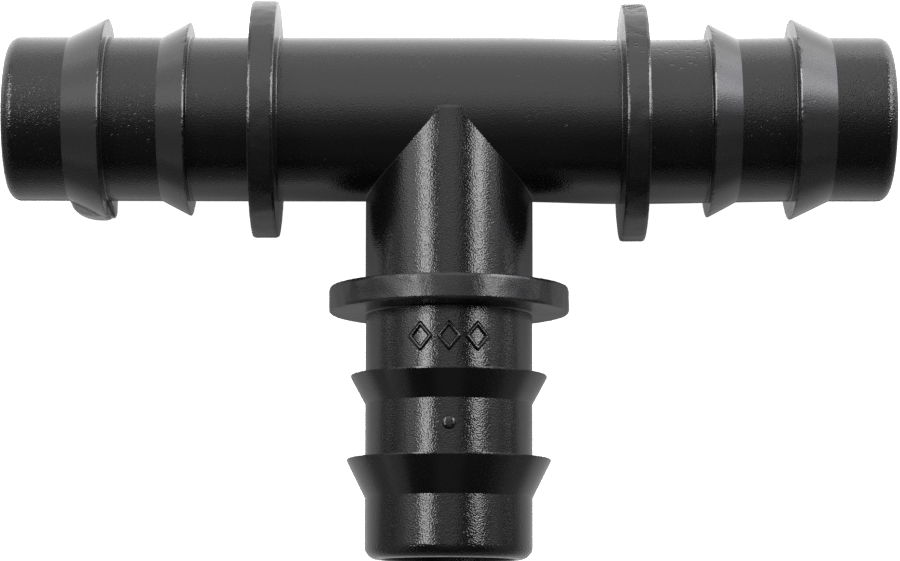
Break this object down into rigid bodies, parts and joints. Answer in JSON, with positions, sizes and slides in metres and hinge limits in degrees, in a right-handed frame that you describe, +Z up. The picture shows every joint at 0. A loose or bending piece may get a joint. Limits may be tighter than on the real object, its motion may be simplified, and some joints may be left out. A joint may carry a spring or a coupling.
{
  "type": "barbed tee connector",
  "caption": "Barbed tee for joining flexible irrigation hose: a straight run and a side branch, each arm with a stop collar, a barbed spigot and a rounded mouth.",
  "frame": {"origin": "on the surface that the tee lies flat on, under the middle of its footprint", "axes": "+X along the straight run, -Y out of the branch's mouth, +Z up, square to the plane of the tee"},
  "size_m": [0.0722, 0.0458, 0.0195],
  "materials": {
    "textured_plastic": "black plastic, fine spark-eroded grain with a soft sheen",
    "smooth_plastic": "black plastic, smooth satin"
  },
  "bodies": {
    "root": {"tee_junction": "textured_plastic", "left_spigot": "textured_plastic", "left_mouth_lip": "smooth_plastic", "left_stop_collar": "smooth_plastic", "left_inner_barb": "smooth_plastic", "left_outer_barb": "smooth_plastic", "right_spigot": "textured_plastic", "right_mouth_lip": "smooth_plastic", "right_stop_collar": "smooth_plastic", "right_inner_barb": "smooth_plastic", "right_outer_barb": "smooth_plastic", "branch_spigot": "textured_plastic", "branch_mouth_lip": "smooth_plastic", "branch_stop_collar": "smooth_plastic", "branch_inner_barb": "smooth_plastic", "branch_outer_barb": "smooth_plastic", "diamond_mark_1": "textured_plastic", "diamond_mark_2": "textured_plastic", "diamond_mark_3": "textured_plastic", "dot_mark": "textured_plastic"}
  },
  "joints": []
}
